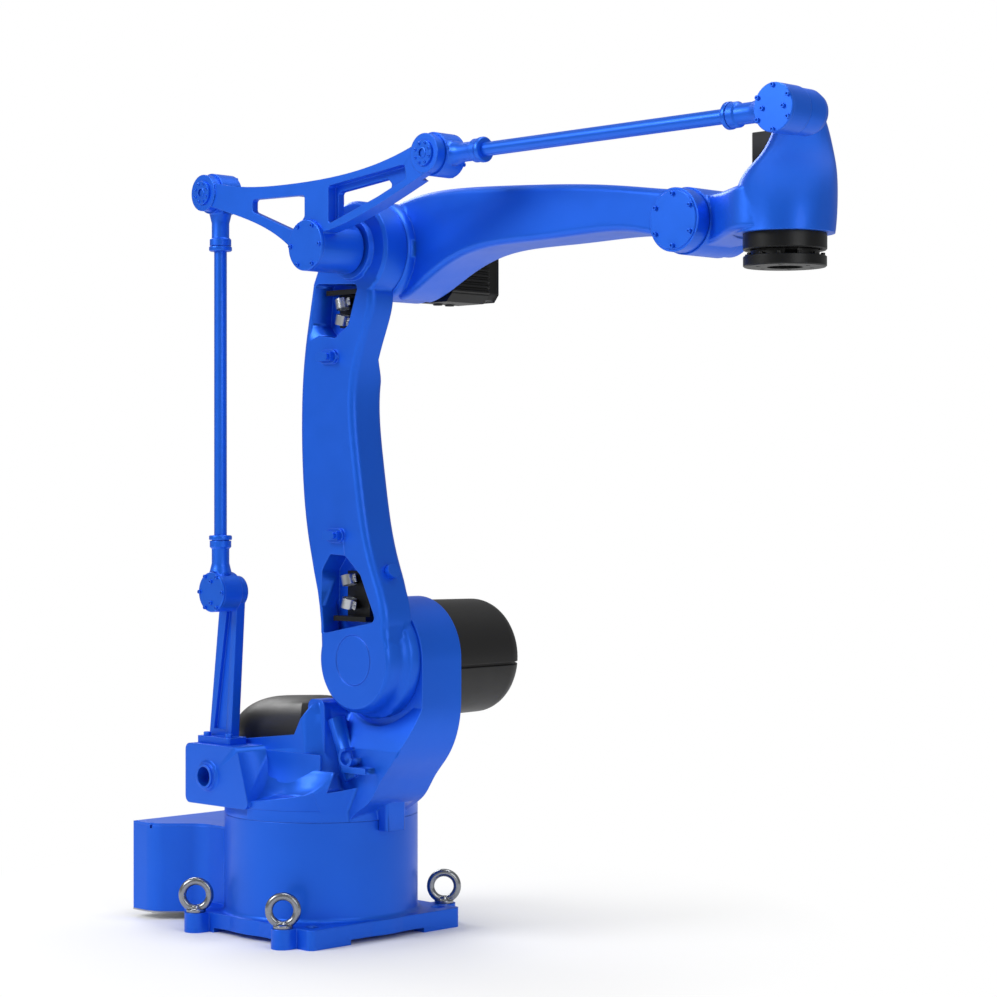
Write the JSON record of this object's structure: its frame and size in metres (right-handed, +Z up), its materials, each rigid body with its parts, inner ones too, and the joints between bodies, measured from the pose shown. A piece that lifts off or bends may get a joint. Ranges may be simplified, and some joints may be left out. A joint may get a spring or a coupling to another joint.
{
  "type": "palletizing robot",
  "caption": "Blue palletizing robot: round base, turret, bowed lower arm, long forearm and two parallel rod linkages on a bell crank that keep the tool flange level.",
  "frame": {"origin": "on the waist axis at floor level, at the middle of the four base bolts", "axes": "+Z up, +X from the waist towards the tool, the side with the two link rods faces -Y"},
  "size_m": [1.816, 0.5027, 1.571],
  "materials": {
    "blue_iron": "gloss enamel on cast iron",
    "blue_alloy": "gloss enamel on cast aluminium",
    "blue_steel": "gloss enamel on steel",
    "grey_steel": "satin powder coat",
    "dark_alloy": "die cast, satin",
    "black_motor": "satin black anodised, solid volume",
    "black_cover": "satin moulded",
    "black_steel": "black oxide",
    "steel": "ground",
    "bright_steel": "polished",
    "rubber": "matte"
  },
  "bodies": {
    "base": {"base_casting": "blue_iron", "terminal_box_lid": "blue_steel", "lid_screws": "blue_steel", "rear_panel": "grey_steel", "rear_connectors": "dark_alloy", "lifting_eyebolts": "bright_steel", "waist_reducer": "steel"},
    "turret": {"turret_casting": "blue_iron", "waist_motor": "black_motor", "waist_motor_cover": "black_cover", "link_post": "blue_iron", "link_post_screws": "blue_steel", "rear_link_pin": "steel", "shoulder_reducer": "steel", "shoulder_motor": "black_motor", "shoulder_motor_cover": "black_cover"},
    "lower_arm": {"lower_arm_casting": "blue_iron", "cable_brackets": "black_steel", "cable_clamps": "bright_steel", "lug_blocks": "blue_steel", "lug_screws": "blue_steel", "arm_stop": "blue_steel", "elbow_shaft": "steel", "elbow_reducer": "steel"},
    "bell_crank": {"bell_crank_casting": "blue_alloy", "crank_bearings": "steel", "crank_hub_cap": "blue_alloy", "crank_hub_screws": "blue_steel", "crank_link_pins": "steel"},
    "rear_rod": {"rear_rod_tube": "blue_steel", "rear_rod_ends": "blue_alloy", "rear_rod_lock_nuts": "blue_steel", "rear_rod_bearings": "steel", "rear_rod_caps": "blue_steel", "rear_rod_cap_screws": "blue_steel"},
    "upper_rod": {"upper_rod_tube": "blue_steel", "upper_rod_ends": "blue_alloy", "upper_rod_lock_nuts": "blue_steel", "upper_rod_bearings": "steel", "upper_rod_caps": "blue_steel", "upper_rod_cap_screws": "blue_steel"},
    "forearm": {"forearm_casting": "blue_alloy", "elbow_motor": "black_motor", "wrist_pin": "steel", "wrist_pin_covers": "blue_steel", "wrist_pin_screws": "blue_steel"},
    "wrist": {"wrist_casting": "blue_alloy", "wrist_motor": "black_motor", "wrist_reducer": "black_steel", "upper_link_pin": "steel"},
    "tool_flange": {"tool_flange": "black_steel"}
  },
  "joints": [
    {"name": "waist", "type": "hinge", "parent": "base", "child": "turret", "pos_m": [0, 0, 0.24], "axis": [0, 0, 1], "range_deg": [-170, 170]},
    {"name": "shoulder", "type": "hinge", "parent": "turret", "child": "lower_arm", "pos_m": [0.227, 0, 0.568], "axis": [0, 1, 0], "range_deg": [-30, 75]},
    {"name": "crank_level", "type": "hinge", "parent": "lower_arm", "child": "bell_crank", "pos_m": [0.227, 0, 1.382], "axis": [0, 1, 0], "range_deg": [-75, 30]},
    {"name": "rear_rod_pivot", "type": "hinge", "parent": "turret", "child": "rear_rod", "pos_m": [-0.097, 0, 0.697], "axis": [0, 1, 0], "range_deg": [-30, 75]},
    {"name": "elbow", "type": "hinge", "parent": "bell_crank", "child": "forearm", "pos_m": [0.227, 0, 1.382], "axis": [0, 1, 0], "range_deg": [-15, 45]},
    {"name": "upper_rod_pivot", "type": "hinge", "parent": "bell_crank", "child": "upper_rod", "pos_m": [0.559, 0, 1.53], "axis": [0, 1, 0], "range_deg": [-15, 45]},
    {"name": "wrist_level", "type": "hinge", "parent": "forearm", "child": "wrist", "pos_m": [1.035, 0, 1.382], "axis": [0, 1, 0], "range_deg": [-45, 15]},
    {"name": "tool_turn", "type": "hinge", "parent": "wrist", "child": "tool_flange", "pos_m": [1.222, 0, 1.291], "axis": [0, 0, 1], "range_deg": [-360, 360]}
  ],
  "couplings": [
    {"joint": "crank_level", "follows": "shoulder", "ratio": -1},
    {"joint": "rear_rod_pivot", "follows": "shoulder", "ratio": 1},
    {"joint": "upper_rod_pivot", "follows": "elbow", "ratio": 1},
    {"joint": "wrist_level", "follows": "elbow", "ratio": -1}
  ]
}
